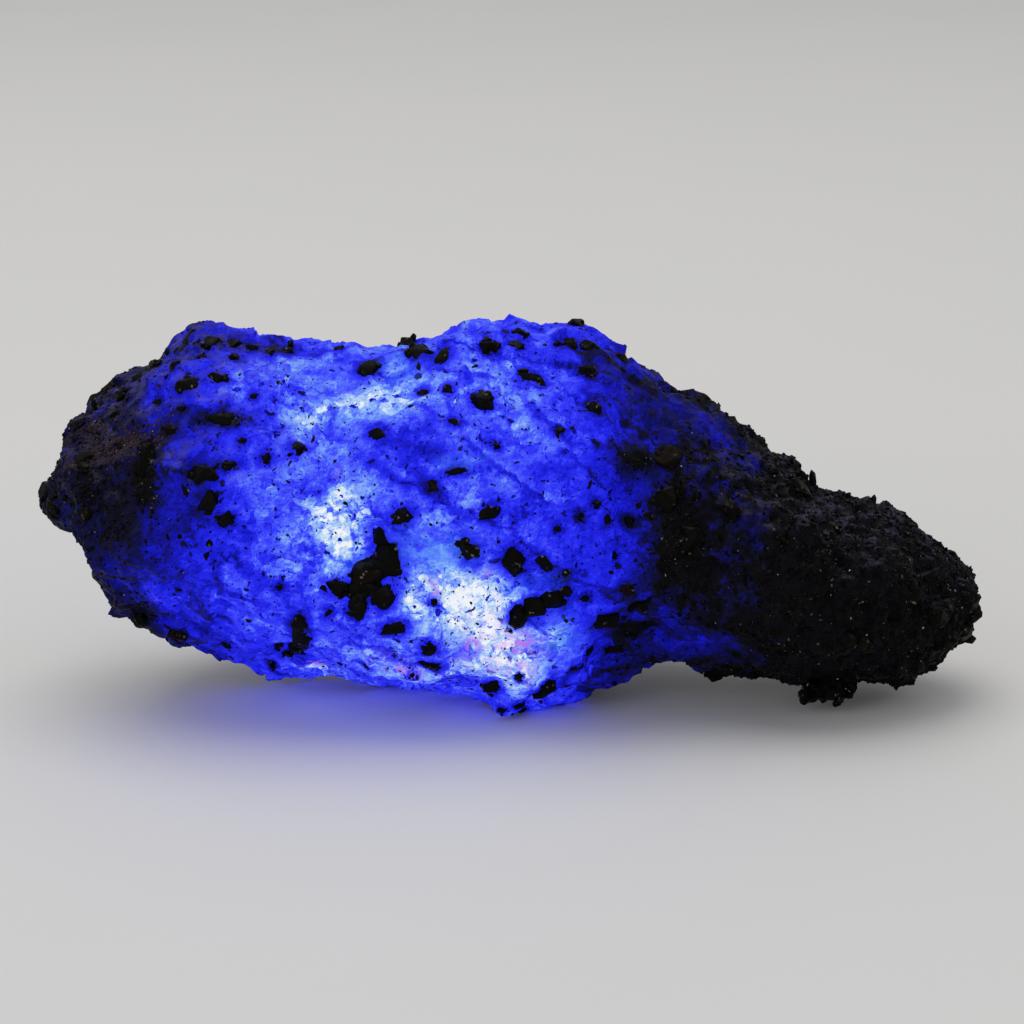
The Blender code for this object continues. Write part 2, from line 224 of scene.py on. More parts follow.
# The stone's outline: x, keel height, ridge height, front y, back y, and how far ridge and keel lean back
STATIONS = (
    (-37.8, 17.0, 17.0, 0.0, 0.0, 0.0, 0.0),
    (-36.6, 14.8, 19.7, -3.8, 3.8, 0.3, 0.0),
    (-35.1, 13.6, 22.2, -5.8, 6.0, 0.8, 0.0),
    (-33.5, 12.4, 25.8, -7.2, 7.6, 1.2, 0.0),
    (-31.6, 7.6, 25.2, -8.6, 9.4, 1.8, 0.0),
    (-28.0, 4.7, 28.2, -10.4, 11.4, 2.2, 0.5),
    (-24.0, 2.7, 30.3, -11.6, 12.6, 2.4, 1.2),
    (-20.0, 1.1, 29.8, -12.4, 12.9, 1.8, 2.5),
    (-14.0, 0.5, 29.0, -12.9, 12.2, 0.6, 4.0),
    (-8.0, -0.9, 30.0, -13.2, 11.6, 0.2, 4.0),
    (-6.2, -1.0, 30.0, -13.3, 11.7, 0.4, 3.6),
    (-4.2, -1.1, 30.9, -13.4, 11.8, 0.8, 2.6),
    (0.0, -1.2, 30.1, -13.0, 12.4, 1.6, -2.0),
    (3.5, -0.7, 29.4, -12.4, 12.9, 2.2, -1.9),
    (7.0, -0.2, 28.7, -11.5, 13.1, 2.6, -2.3),
    (10.4, 1.2, 26.2, -10.8, 12.6, 2.4, -1.0),
    (15.0, 1.4, 23.3, -10.4, 11.0, 1.6, 0.0),
    (20.0, 1.6, 20.3, -10.2, 9.8, 1.2, 0.0),
    (25.7, 1.4, 16.5, -9.4, 8.6, 1.2, 0.0),
    (30.5, 1.4, 14.5, -8.0, 7.4, 1.0, 0.0),
    (34.0, 2.2, 12.0, -5.8, 5.6, 0.6, 0.0),
    (36.6, 5.4, 10.6, -3.2, 3.4, 0.3, 0.0),
    (37.8, 8.4, 8.4, 0.0, 0.0, 0.0, 0.0),
)
WAIST = 0.42  # height of the widest line, as a share of each section
TOP_POWER = 0.86  # 1 is an ellipse, less is boxier, and 2 would be a straight slope
KEEL_POWER = 1.3

# Crests (plus) and folds (minus) that run along the surface: height, reach, then the points of the line
CRESTS = (
    (1.1, 1.9, (-34.0, -6.5, 19.5), (-28.5, -10.5, 20.5), (-20.5, -12.0, 21.8), (-14.5, -11.5, 20.5)),
    (1.3, 1.9, (9.5, -9.5, 21.5), (23.0, -9.5, 14.5), (33.5, -6.5, 9.0)),
    (-0.8, 1.6, (-7.5, 1.0, 29.5), (-8.0, -4.0, 28.0), (-10.5, -11.0, 21.0)),
    (-1.2, 1.9, (9.5, -9.0, 5.0), (12.5, -10.5, 12.0), (11.0, -10.0, 19.0)),
    (-0.9, 1.5, (-14.0, -12.5, 16.0), (-2.0, -12.5, 12.5), (6.0, -11.0, 11.5)),
    (-1.3, 2.0, (-18.0, 12.5, 24.0), (-12.0, 13.0, 14.0), (-14.0, 9.0, 4.0)),
    (1.0, 1.9, (-4.0, 11.0, 24.0), (6.0, 13.0, 15.0), (18.0, 10.0, 10.0)),
)

# Hollows (minus) and swellings (plus): height, reach, and the place
SWELLINGS = (
    (-1.0, 6.5, (-22.0, -12.0, 10.5)),
    (0.9, 4.5, (-30.5, -9.0, 15.5)),
    (-0.8, 4.9, (-12.5, -6.0, 29.0)),
    (0.9, 4.9, (-1.0, -12.0, 18.0)),
    (0.8, 4.1, (-7.0, -12.5, 8.0)),
    (0.5, 3.4, (1.5, -8.0, 3.5)),
    (0.7, 4.9, (24.0, -9.0, 9.0)),
    (-1.4, 6.5, (-27.0, 11.0, 20.0)),
    (1.0, 4.9, (-26.0, 10.0, 9.0)),
    (-1.2, 4.9, (12.0, 11.0, 19.0)),
    (0.8, 4.1, (26.0, 8.0, 8.0)),
)

CHIP_SEED = 5
CHIPS = 170
CHIP_REACH = (4.0, 8.0)
CHIP_WHOLE = 0.6  # a chip is flat over this share of its reach, and dies out beyond it
CHIP_DEPTH = 0.085  # as a share of the reach
LUMP_SIZE = 9.0
LUMP_HEIGHT = 1.0
KNOB_SIZE = 3.4
KNOB_HEIGHT = 0.55
CALM_TIP = 4.0  # the lumps fade out over this length at each tip

CRUST_STARTS = 8.0  # x where the black crust begins
CRUST_IS_WHOLE = 19.0
CRUST_EDGE_SIZE = 5.0  # its edge wanders by about the sway over this distance
CRUST_EDGE_SWAY = 3.0
CRUST_CELL = 1.9
CRUST_HEIGHT = 0.70
CRUST_LEVEL = 0.45  # distance from a cell's middle, in cells, at which the crust is level with the stone

FACET_SEED = 21
FACETS = 2600  # small broken faces, each tilted its own way
FACET_TILT = 0.16
PIT_SIZE = 0.9
PIT_DEPTH = 0.13
GRIT_CELL = 0.75
GRIT_HEIGHT = 0.22


def smooth_step(value, low, high):
    share = np.clip((value - low) / (high - low), 0.0, 1.0)
    return share * share * (3.0 - 2.0 * share)


def through_stations(angle):
    """Each column of STATIONS as a smooth curve, read at an angle that runs from 0 at the left tip to pi."""
    table = np.array(STATIONS)
    knots = np.arccos(np.clip(-table[:, 0] / HALF_LENGTH, -1.0, 1.0))
    values = table[:, 1:]
    slopes = np.gradient(values, knots, axis=0)
    slopes[0] = (values[1] - values[0]) / (knots[1] - knots[0])
    slopes[-1] = (values[-1] - values[-2]) / (knots[-1] - knots[-2])
    left = np.clip(np.searchsorted(knots, angle, side="right") - 1, 0, len(knots) - 2)
    width = (knots[left + 1] - knots[left])[:, None]
    t = (angle - knots[left])[:, None] / width
    return (
        (2 * t**3 - 3 * t**2 + 1) * values[left]
        + (t**3 - 2 * t**2 + t) * width * slopes[left]
        + (3 * t**2 - 2 * t**3) * values[left + 1]
        + (t**3 - t**2) * width * slopes[left + 1]
    )


def on_section(angle, around):
    """Points on the smooth stone. around is 0 at the back, a quarter turn at the ridge and a half at the front."""
    keel, ridge, front, back, ridge_lean, keel_lean = through_stations(angle).T
    power = np.where(np.sin(around) > 0, TOP_POWER, KEEL_POWER)
    outward = np.sign(np.cos(around)) * np.abs(np.cos(around)) ** power
    upward = np.sign(np.sin(around)) * np.abs(np.sin(around)) ** power
    waist = keel + WAIST * (ridge - keel)
    middle = (front + back) / 2
    y = middle + np.abs(outward) * np.where(outward > 0, back - middle, front - middle)
    y += np.where(upward > 0, ridge_lean, keel_lean) * upward**2
    z = waist + np.abs(upward) * np.where(upward > 0, ridge - waist, keel - waist)
    return np.stack([-HALF_LENGTH * np.cos(angle), y, z], axis=1)


def bend(points, normals, _):
    """Raises the crests and swellings, and sinks the folds and hollows."""
    for height, reach, *line in CRESTS:
        away = np.full(len(points), np.inf)
        for start, end in zip(line, line[1:]):
            start, along = np.array(start), np.subtract(end, start)
            share = np.clip((points - start) @ along / (along @ along), 0.0, 1.0)
            away = np.minimum(away, np.linalg.norm(points - start - np.outer(share, along), axis=1))
        points += normals * (height * np.exp(-away / reach))[:, None]
    for height, reach, place in SWELLINGS:
        away = np.linalg.norm(points - place, axis=1) / reach
        points += normals * (height * np.exp(-(away**2)))[:, None]
    return points


def struck_vertex(ball, dice):
    """The vertex nearest to a random spot of the first sphere."""
    level = dice.uniform(-1.0, 1.0)
    turn = dice.uniform(0.0, math.tau)
    ring = math.sqrt(1.0 - level * level)
    return int(np.argmax(ball @ (ring * math.cos(turn), ring * math.sin(turn), level)))


def chip(points, normals, ball):
    """Strikes flat chips off the stone, each by a plane a little under the surface."""
    dice = random.Random(CHIP_SEED)
    struck = [struck_vertex(ball, dice) for _ in range(CHIPS)]
    struck_at, struck_normal = points[struck].copy(), normals[struck].copy()
    for place, normal in zip(struck_at, struck_normal):
        reach = dice.uniform(*CHIP_REACH)
        offset = points - place
        over = offset @ normal + reach * CHIP_DEPTH
        near = 1.0 - smooth_step(np.linalg.norm(offset, axis=1), reach * CHIP_WHOLE, reach)
        points -= np.outer(np.clip(over, 0.0, None) * near, normal)
    return points


def crust_share(points):
    """How much of the surface is black crust: all of it at the right end, and none on the blue middle."""
    edge = CRUST_EDGE_SWAY * np.array([noise.noise(Vector(p) / CRUST_EDGE_SIZE) for p in points])
    return smooth_step(points[:, 0] + edge, CRUST_STARTS, CRUST_IS_WHOLE)


def roughen(points, normals, _):
    """Broad lumps, smaller knobs, and on the crust a bed of close-set grains."""
    lumps = np.array([noise.noise(Vector(p) / LUMP_SIZE) for p in points])
    knobs = np.array([noise.fractal(Vector(p) / KNOB_SIZE, 1.0, 2.2, 3) for p in points])
    cells = np.array([noise.voronoi(Vector(p) / CRUST_CELL)[0][0] for p in points])
    height = LUMP_HEIGHT * lumps + KNOB_HEIGHT * knobs
    height += CRUST_HEIGHT * crust_share(points) * (CRUST_LEVEL - cells)
    calm_tips = smooth_step(HALF_LENGTH - np.abs(points[:, 0]), 0.0, CALM_TIP)
    return points + normals * (height * calm_tips)[:, None]


def weather(points, normals, ball):
    """Small broken faces all over, fine pits, and grit on the crust."""
    dice = random.Random(FACET_SEED)
    middles = KDTree(FACETS)
    tilts = np.empty((FACETS, 3))
    for k in range(FACETS):
        middles.insert(Vector(points[struck_vertex(ball, dice)]), k)
        tilts[k] = [dice.gauss(0.0, FACET_TILT) for _ in range(3)]
    middles.balance()
    height = np.empty(len(points))
    for k, point in enumerate(points):
        middle, facet, _ = middles.find(point)
        height[k] = np.dot(point - np.array(middle), tilts[facet])
    pits = np.array([noise.noise(Vector(p) / PIT_SIZE) for p in points])
    grit = np.array([noise.voronoi(Vector(p) / GRIT_CELL)[0][0] for p in points])
    height += PIT_DEPTH * np.minimum(pits, 0.25)
    height += GRIT_HEIGHT * crust_share(points) * (CRUST_LEVEL - grit)
    return points + normals * height[:, None]


def rest_flat(points, *_):
    """The flat spot: nothing reaches below the ground."""
    points[:, 2] = np.maximum(points[:, 2], 0.0)
    return points


def places_and_normals(bm):
    bm.normal_update()
    return np.array([v.co for v in bm.verts]), np.array([v.normal for v in bm.verts])


def move_to(bm, points):
    for vertex, point in zip(bm.verts, points):
        vertex.co = point


def shaped_stone():
    """A sphere, its upper pole laid over to the right tip, drawn out to the stations and then worked over."""
    bm = bmesh.new()
    bmesh.ops.create_uvsphere(bm, u_segments=SPOKES, v_segments=RINGS, radius=1.0)
    ball = np.array([v.co for v in bm.verts])
    angle = np.arccos(np.clip(-ball[:, 2], -1.0, 1.0))
    around = np.arctan2(ball[:, 1], ball[:, 0])
    move_to(bm, on_section(angle, around))
    for work in (bend, chip, roughen, weather, rest_flat):
        move_to(bm, work(*places_and_normals(bm), ball))
    return bm, ball


stone_mesh, ball = shaped_stone()
stone_tree = BVHTree.FromBMesh(stone_mesh)
stone_points, stone_normals = places_and_normals(stone_mesh)
crust = crust_share(stone_points)

# How strongly the stone's painted glow shines along its length: x, level
GLOW_ALONG = (
    (-38.0, 0.14), (-28.7, 0.17), (-27.6, 0.37), (-24.0, 0.48), (-21.0, 0.62), (-17.0, 0.71), (-4.0, 0.72),
    (2.0, 0.69), (5.0, 0.62), (8.0, 0.49), (11.0, 0.35), (14.0, 0.20), (20.0, 0.12), (26.0, 0.03), (38.0, 0.0),
)

# The underside's glow is darker, a painted shade: how far down a face must look, and its loss
UNDERSIDE_SLOPE = (0.30, 0.75)
UNDERSIDE_PAINTED_SHADE = 0.70
FACES_AWAY = (-0.1, 0.3)  # the front's own lower edge is as bright as the rest

# How much of it black mineral covers: x, share
COVER_ALONG = ((7.0, 0.0), (10.0, 0.20), (13.0, 0.42), (19.0, 0.56), (25.0, 1.0))

# Soft ovals on the stone as a viewer sees them: right of and above the middle of the view, half length,
# half width, tilt in degrees, and how much they add. These lighten (plus) and darken (minus) the glow.
FRONT_LIGHT = (
    (-11.0, 8.8, 5.4, 2.2, 8, 0.14),
    (-14.0, 8.6, 1.9, 0.9, 8, 0.08),
    (-10.6, 9.4, 1.9, 0.9, 15, 0.05),
    (-9.2, 11.3, 1.3, 1.6, 0, 0.13),
    (-16.6, 7.0, 2.2, 1.2, -5, 0.13),
    (-20.5, 10.0, 3.0, 1.6, 0, 0.03),
    (-3.4, 9.0, 2.2, 1.6, 0, 0.06),
    (0.8, 6.4, 2.4, 0.9, 20, 0.08),
    (-13.6, 0.1, 2.7, 2.5, 0, 0.24),
    (-14.0, -2.9, 2.8, 2.3, -20, 0.25),
    (-4.6, -1.6, 2.6, 1.2, 0, 0.06),
    (-7.0, -6.9, 3.0, 1.9, -25, 0.23),
    (-4.0, -6.4, 2.8, 2.2, -35, 0.14),
    (-2.0, -8.2, 3.0, 2.7, -35, 0.34),
    (-0.8, -10.8, 2.2, 2.4, 15, 0.26),
    (0.4, -12.8, 2.4, 2.2, 15, 0.26),
    (3.4, -10.2, 2.0, 2.2, 0, 0.17),
    (-4.6, -12.2, 3.4, 1.8, 0, 0.19),
    (-10.5, -11.4, 3.0, 1.8, 10, 0.11),
    (-18.0, -9.6, 4.4, 2.0, -12, 0.08),
    (-1.0, 10.4, 4.6, 2.6, 0, 0.07),
    (-1.5, 3.0, 5.0, 2.0, 0, 0.02),
    (6.0, -10.6, 2.4, 3.0, 0, 0.08),
    (-16.0, -12.3, 1.6, 1.1, 0, 0.26),
    (-9.0, -13.0, 4.0, 1.2, -4, 0.10),
    (-28.4, 9.0, 1.6, 1.2, 0, 0.18),
    (-22.0, 2.4, 1.6, 1.5, 0, 0.08),
    (-22.8, -5.5, 3.4, 4.4, 0, 0.08),
    (-24.5, 10.6, 5.0, 1.8, 14, 0.14),
    (-26.4, 1.2, 1.5, 3.4, 0, -0.10),
    (-30.2, 10.2, 3.4, 1.8, 42, 0.30),
    (-29.6, -6.0, 4.8, 3.4, -55, 0.26),
    (-30.4, -1.9, 2.4, 2.0, -30, -0.08),
    (-33.0, 2.0, 5.0, 4.0, 20, -0.07),
    (-28.8, 2.2, 1.1, 4.2, 5, -0.18),
    (-25.6, 13.2, 5.0, 1.3, 12, -0.16),
    (-19.0, 13.2, 4.0, 0.9, -10, -0.18),
    (-23.0, 7.4, 4.0, 0.9, -6, -0.28),
    (-7.0, 4.9, 3.4, 0.6, -12, -0.20),
    (-3.6, 3.3, 2.0, 0.6, -25, -0.20),
    (2.8, 3.4, 2.4, 0.7, 0, -0.20),
    (-10.0, 3.2, 2.0, 0.35, -30, -0.18),
    (-15.6, 1.6, 1.6, 0.3, -35, -0.20),
    (-21.6, 0.9, 0.5, 1.0, 30, -0.16),
    (3.2, 6.6, 1.2, 0.6, 0, -0.10),
    (7.6, 12.0, 4.0, 2.2, -20, -0.18),
    (10.2, 8.0, 2.6, 2.2, -30, -0.12),
    (9.8, 4.0, 2.2, 1.3, -10, -0.30),
    (9.5, -9.4, 3.0, 1.2, -14, -0.32),
    (8.8, -12.6, 2.4, 1.1, 5, -0.22),
    (5.8, -14.2, 2.4, 1.2, 20, -0.14),
    (16.5, 6.2, 5.0, 1.4, -32, 0.15),
    (14.4, 4.0, 3.6, 1.2, -20, 0.12),
    (15.0, -10.2, 3.8, 1.6, -6, 0.22),
    (18.5, -0.6, 3.0, 1.8, 0, 0.08),
    (13.0, -3.5, 1.8, 3.4, 0, -0.20),
)
BACK_LIGHT = (
    (8.0, -4.0, 4.6, 2.4, -20, 0.22),
    (14.0, 4.0, 3.0, 2.0, 30, 0.18),
    (-1.0, -8.0, 3.4, 2.0, 15, 0.20),
    (3.0, 8.0, 4.0, 1.8, 0, 0.10),
    (22.0, 8.0, 5.0, 2.0, -25, -0.20),
    (20.0, -6.0, 3.0, 2.0, 30, -0.18),
    (0.0, 3.0, 6.0, 0.9, 20, -0.14),
    (-6.0, 4.0, 3.0, 2.0, 40, -0.18),
)

# These add black mineral cover, with painted shade at the left end's dark edge, rose tints and sky-blue tints.
FRONT_COVER_AND_SHADE = (
    # Painted shade: this first row is the sharp dark edge at the left end, where the light from below stops.
    (-29.2, 2.2, 1.3, 3.6, 6, 0.72),
    (-34.0, 2.0, 3.6, 4.6, 20, 0.28),
    (-31.6, -1.6, 2.6, 2.2, -40, 0.20),
    (-25.4, 13.5, 4.4, 1.2, 12, 0.36),
    (-30.5, 10.0, 3.0, 1.6, 40, 0.05),
    (-22.6, 7.3, 3.6, 0.8, -6, 0.40),
    (-24.4, 3.4, 2.4, 0.9, -10, 0.34),
    (-23.5, 0.2, 1.6, 1.6, -40, 0.22),
    (-26.5, -10.6, 4.0, 1.0, -22, 0.30),
    (-7.6, 13.4, 2.2, 1.2, -30, 0.28),
    (5.8, 12.2, 3.6, 1.8, -18, 0.18),
    (8.8, 9.2, 2.0, 2.2, -30, 0.20),
    (9.6, 4.2, 2.0, 1.2, -10, 0.44),
    (7.2, 6.0, 1.6, 1.0, 0, 0.20),
    (9.8, -9.6, 2.8, 1.1, -14, 0.50),
    (8.4, -12.6, 2.2, 0.9, 5, 0.34),
    (13.0, -2.6, 2.0, 4.6, 0, 0.40),
    (16.4, 6.4, 4.4, 1.5, -32, -0.34),
    (15.4, -10.4, 3.8, 1.6, -6, -0.50),
    (19.0, -0.4, 2.6, 1.4, 0, -0.20),
)
BACK_COVER = (
    (22.0, 8.0, 4.0, 1.6, -25, 0.40),
    (26.0, -3.0, 2.4, 4.0, 0, 0.36),
    (-5.0, 5.0, 2.6, 1.6, 40, 0.34),
    (-9.0, -4.0, 2.0, 4.0, 0, 0.30),
)
FRONT_ROSE = (
    (-16.1, -12.2, 1.4, 1.0, 0, 1.1),
    (-3.4, -10.7, 1.0, 0.8, 0, 1.2),
    (-8.6, -12.6, 1.5, 0.7, -5, 1.1),
    (-2.2, -4.7, 0.9, 0.5, 0, 1.0),
    (-14.0, 3.2, 0.5, 0.4, 0, 0.9),
    (0.8, -10.4, 0.9, 1.0, 20, 0.7),
    (-6.3, -6.1, 0.9, 0.7, 0, 1.0),
    (-13.2, 9.6, 0.35, 0.3, 0, 1.0),
    (-26.0, 11.0, 5.0, 2.4, 20, 0.30),
    (-0.4, -9.6, 3.4, 2.6, -35, 0.40),
    (0.6, -12.6, 2.6, 2.4, 15, 0.50),
    (-7.6, -11.8, 6.0, 1.6, -6, 0.30),
    (-18.0, -10.4, 4.4, 2.0, -14, 0.40),
)
FRONT_SKY = (
    (-6.2, -3.4, 2.4, 1.7, 0, 1.0),
    (-9.0, 11.2, 1.3, 1.6, 0, 0.9),
    (-12.5, 7.6, 2.0, 0.7, 0, 0.6),
    (3.8, -10.2, 1.5, 1.9, 0, 0.8),
    (-12.4, -4.2, 1.2, 1.0, 0, 0.5),
    (-3.2, 4.1, 1.2, 0.6, 0, 0.45),
    (-5.4, 4.0, 0.8, 0.5, 0, 0.4),
    (0.6, -6.2, 2.2, 0.8, 10, 0.5),
)

DUST_AND_SHEEN_SLOPE = (0.50, 0.95)  # how far up a face must look to hold dust and painted sheen, on the left
DUST_AND_SHEEN_SLOPE_RIGHT = (0.76, 0.99)
DUST_AND_SHEEN_LEFT = (-14.0, -26.0)  # dust and painted sheen thicken from the first x to the second
DUST_AND_SHEEN_RIGHT = (12.0, 20.0)


def seen_from(turn, across, above):
    """Where the sight line through a place in the view meets the stone, and the way out there."""
    eye, right, up = viewer(turn)
    sight = (VIEW_MIDDLE + right * across + up * above - eye).normalized()
    place, out, _, _ = stone_tree.ray_cast(eye, sight)
    if place is None:  # just off the outline: the nearest of the stone
        place, out, _, _ = stone_tree.find_nearest(eye + sight * VIEW_DISTANCE)
    return place, out, right, up


def ovals(points, turn, spots):
    """The sum of soft oval spots that lie on the stone where a viewer sees them."""
    total = np.zeros(len(points))
    for across, above, length, width, tilt, amount in spots:
        place, out, right, up = seen_from(turn, across, above)
        along = right * math.cos(math.radians(tilt)) + up * math.sin(math.radians(tilt))
        along = (along - out * along.dot(out)).normalized()
        offset = points - np.array(place)
        far = (offset @ along / length) ** 2 + (offset @ out.cross(along) / width) ** 2
        total += amount * np.exp(-far - (offset @ out / length) ** 2)
    return total


# Dust and a painted sheen on faces that look up, at the left end and at the right end.
def dust_and_sheen_of(points, normals):
    x, upward = points[:, 0], normals[:, 2]
    left = smooth_step(-x, -DUST_AND_SHEEN_LEFT[0], -DUST_AND_SHEEN_LEFT[1]) * smooth_step(upward, *DUST_AND_SHEEN_SLOPE)
    right = smooth_step(x, *DUST_AND_SHEEN_RIGHT) * smooth_step(upward, *DUST_AND_SHEEN_SLOPE_RIGHT)
    return np.maximum(left, right)


glow = np.interp(stone_points[:, 0], *zip(*GLOW_ALONG))
glow += ovals(stone_points, 0.0, FRONT_LIGHT) + ovals(stone_points, 180.0, BACK_LIGHT)
away = smooth_step(-stone_normals @ np.array(viewer()[2].cross(viewer()[1])) * -1.0, *FACES_AWAY)
glow *= 1.0 - UNDERSIDE_PAINTED_SHADE * away * smooth_step(-stone_normals[:, 2], *UNDERSIDE_SLOPE)
# Black mineral cover, with a painted shade edge at the left end.
cover_and_shade = np.interp(stone_points[:, 0], *zip(*COVER_ALONG))
cover_and_shade += ovals(stone_points, 0.0, FRONT_COVER_AND_SHADE) + ovals(stone_points, 180.0, BACK_COVER)
cover_and_shade = np.clip(cover_and_shade, 0.0, 1.0)
dust_and_sheen = dust_and_sheen_of(stone_points, stone_normals)

# Colours of the glow from unlit to the whitest, as seen on screen
GLOW_COLOURS = (
    (0.00, (4, 4, 6)),
    (0.09, (6, 6, 24)),
    (0.18, (7, 7, 56)),
    (0.27, (8, 9, 102)),
    (0.36, (12, 14, 158)),
    (0.45, (20, 24, 206)),
    (0.54, (33, 38, 236)),
    (0.61, (50, 56, 246)),
    (0.68, (70, 86, 250)),
    (0.745, (94, 126, 248)),
    (0.80, (124, 160, 246)),
    (0.86, (152, 188, 244)),
    (0.93, (190, 216, 243)),
    (1.00, (240, 244, 248)),
)
GLOW_RANGE = 0.9  # what a level of 1 is on that scale, so that a few places go over it
STREAK_TILT = math.radians(30.0)  # the grain of the stone runs down to the right
STREAK_STRETCH = 2.6


def stone_finish():
    """Blue corundum painted to glow from within: cloudy white patches, dark veins and specks, black cover
    with a painted shade edge, and dust with a painted sheen.
    """
    look = Finish("blue_corundum")
    ragged = look.node("TexNoise", {"Vector": look.at, "Scale": 1.5, "Detail": 3.0}).outputs["Color"]
    ragged = look.node("VectorMath", {0: ragged, 1: (1.2, 1.2, 1.2), 2: look.at}, operation="MULTIPLY_ADD")
    ragged = ragged.outputs[0]
    streaked = look.node("Mapping", {
        "Vector": ragged,
        "Rotation": (0.0, STREAK_TILT, 0.0),
        "Scale": (STREAK_STRETCH, 1.0, 1.0),
    }, vector_type="TEXTURE").outputs[0]

    # Broken faces about a millimetre across, each tilted its own way
    faces = look.cells(0.95, at=ragged)
    tilt = look.node("VectorMath", {0: faces.outputs["Color"], 1: (0.5, 0.5, 0.5)}, operation="SUBTRACT").outputs[0]
    offset = look.node("VectorMath", {0: ragged, 1: faces.outputs["Position"]}, operation="SUBTRACT").outputs[0]
    relief = look.node("VectorMath", {0: offset, 1: tilt}, operation="DOT_PRODUCT").outputs["Value"]
    relief = look.sum_of((relief, 0.8, 0.0), (look.grain(0.5, 1.0), 0.22, 0.0))
    normal = look.bumped(relief, 0.8, 0.9)
    # Painted light and shade on the faces: those that look up, left and to the front glow brighter, those that look
    # down darker
    plain = look.node("VectorMath", {0: look.node("NewGeometry").outputs["Normal"], "Scale": 0.6}, operation="SCALE")
    turned = look.node("VectorMath", {0: normal, 1: plain.outputs[0]}, operation="SUBTRACT").outputs[0]
    painted_facet_light = look.node("VectorMath", {0: turned, 1: (-0.35, -0.25, 0.90)}, operation="DOT_PRODUCT").outputs["Value"]

    glow = look.drawn("glow")
    hot = look.fade(glow, 0.72, 0.92)
    sugar = look.grain(0.5, 2.0, 0.65)
    broken = look.node("SeparateColor", {"Color": look.cells(1.9, at=ragged).outputs["Color"]}).outputs["Red"]
    lumpy = look.node("SeparateColor", {"Color": faces.outputs["Color"]}).outputs["Red"]
    grit = look.cells(0.36, at=ragged)
    sparkle = look.node("SeparateColor", {"Color": grit.outputs["Color"]}).outputs["Blue"]
    vein = look.cells(3.4, "DISTANCE_TO_EDGE", streaked).outputs["Distance"]
    vein = look.times(look.fade(vein, 0.10, 0.0), look.fade(look.grain(5.0, 1.0), 0.42, 0.62))
    level = look.sum_of(
        glow,
        (look.grain(3.6, 3.0), 0.24, -0.12),
        (look.grain(1.3, 3.0, 0.6, streaked), 0.24, -0.12),
        (broken, 0.09, -0.045),
        (lumpy, 0.08, -0.04),
        (painted_facet_light, 0.15, -0.02),
        (sugar, 0.18, -0.09),
        (sparkle, 0.06, -0.03),
        (vein, -0.22, 0.0),
    )
    patches = look.sum_of((lumpy, 0.14, -0.04), (sugar, 0.12, -0.06), (sparkle, 0.08, -0.04))
    level = look.sum_of(level, look.times(hot, patches))

    spots = look.cells(0.8, at=ragged)
    speck = None
    for cells, low in ((spots, 0.30), (grit, 0.35)):
        size = look.fade(cells.outputs["Color"], low, 1.0, 0.0, 0.36)
        spot = look.fade(look.math("SUBTRACT", cells.outputs["Distance"], size), 0.05, -0.07)
        speck = spot if speck is None else look.math("MAXIMUM", speck, spot)
    speck = look.times(speck, look.fade(look.grain(3.0, 2.0), 0.42, 0.56, 0.35, 1.0))
    level = look.times(level, look.math("MULTIPLY_ADD", speck, -0.70, 1.0))

    # Black cover, and the painted shade edge, in the base colour and the glow.
    black_cover_and_shade = look.sum_of(look.drawn("cover_and_shade"), (look.grain(1.5, 5.0, 0.7), 1.7, -0.85))
    black_cover_and_shade = look.fade(black_cover_and_shade, 0.38, 0.56)
    colours = look.ramp(look.times(level, GLOW_RANGE), [(place, linear(*colour)) for place, colour in GLOW_COLOURS])
    rose = look.times(look.drawn("rose"), look.fade(look.grain(0.7, 2.0), 0.40, 0.60))
    colours = look.blend(rose, colours, look.blend(1.0, colours, linear(234, 200, 250), "MULTIPLY"))
    colours = look.blend(look.times(rose, hot, 0.5), colours, linear(220, 186, 250))
    strong = look.times(look.fade(rose, 0.45, 0.95, 0.0, 0.75), look.fade(level, 0.50, 0.72))
    colours = look.blend(strong, colours, linear(158, 100, 237))
    sky = look.times(look.drawn("sky"), look.fade(look.grain(1.6, 2.0), 0.32, 0.54), look.fade(sugar, 0.3, 0.7, 0.5, 1.0))
    bluer = look.blend(lumpy, linear(52, 108, 246), linear(110, 178, 248))
    colours = look.blend(look.times(sky, 0.72), colours, bluer)
    colours = look.blend(black_cover_and_shade, colours, linear(2, 2, 5))

    # Dust and painted sheen: faces that look up are lilac grey, and their glow is dimmer.
    dust_and_sheen = look.times(look.drawn("dust_and_sheen"), look.fade(look.grain(0.9, 3.0, 0.7), 0.34, 0.62))
    black = look.blend(sugar, linear(3, 3, 3), linear(9, 9, 8))
    body = look.blend(black_cover_and_shade, look.blend(sugar, linear(5, 5, 20), linear(9, 8, 32)), black)
    body = look.blend(dust_and_sheen, body, linear(60, 57, 72))
    # The emission colour is painted light: the glow from within.
    look.wire(look.shader, {
        "Base Color": body,
        "Emission Color": look.blend(look.times(dust_and_sheen, 0.42), colours, linear(14, 12, 44)),
        "Emission Strength": 1.0,
        "Roughness": look.fade(sugar, 0.3, 0.7, 0.42, 0.75),
        "IOR": 1.76,
        "Specular IOR Level": 0.035,
        "Normal": normal,
    })
    return look.material


stone = to_object(stone_mesh, "stone", stone_finish())
stone.data.shade_smooth()
for name, values in (
    ("glow", glow),
    ("cover_and_shade", cover_and_shade),
    ("dust_and_sheen", dust_and_sheen),
    ("rose", np.clip(ovals(stone_points, 0.0, FRONT_ROSE), 0.0, 1.0)),
    ("sky", np.clip(ovals(stone_points, 0.0, FRONT_SKY), 0.0, 1.0)),
):
    layer = stone.data.attributes.new(name, "FLOAT", "POINT")
    layer.data.foreach_set("value", values.astype(np.float32))
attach(stone, "root")
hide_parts("rough_sapphire")


# The dark crystals.
# Black to olive grains of another mineral, grown into the corundum and left standing a little as it weathered.
# Each is an angular crystal with smaller ones grown round its rim, and a few crumbs beside it.

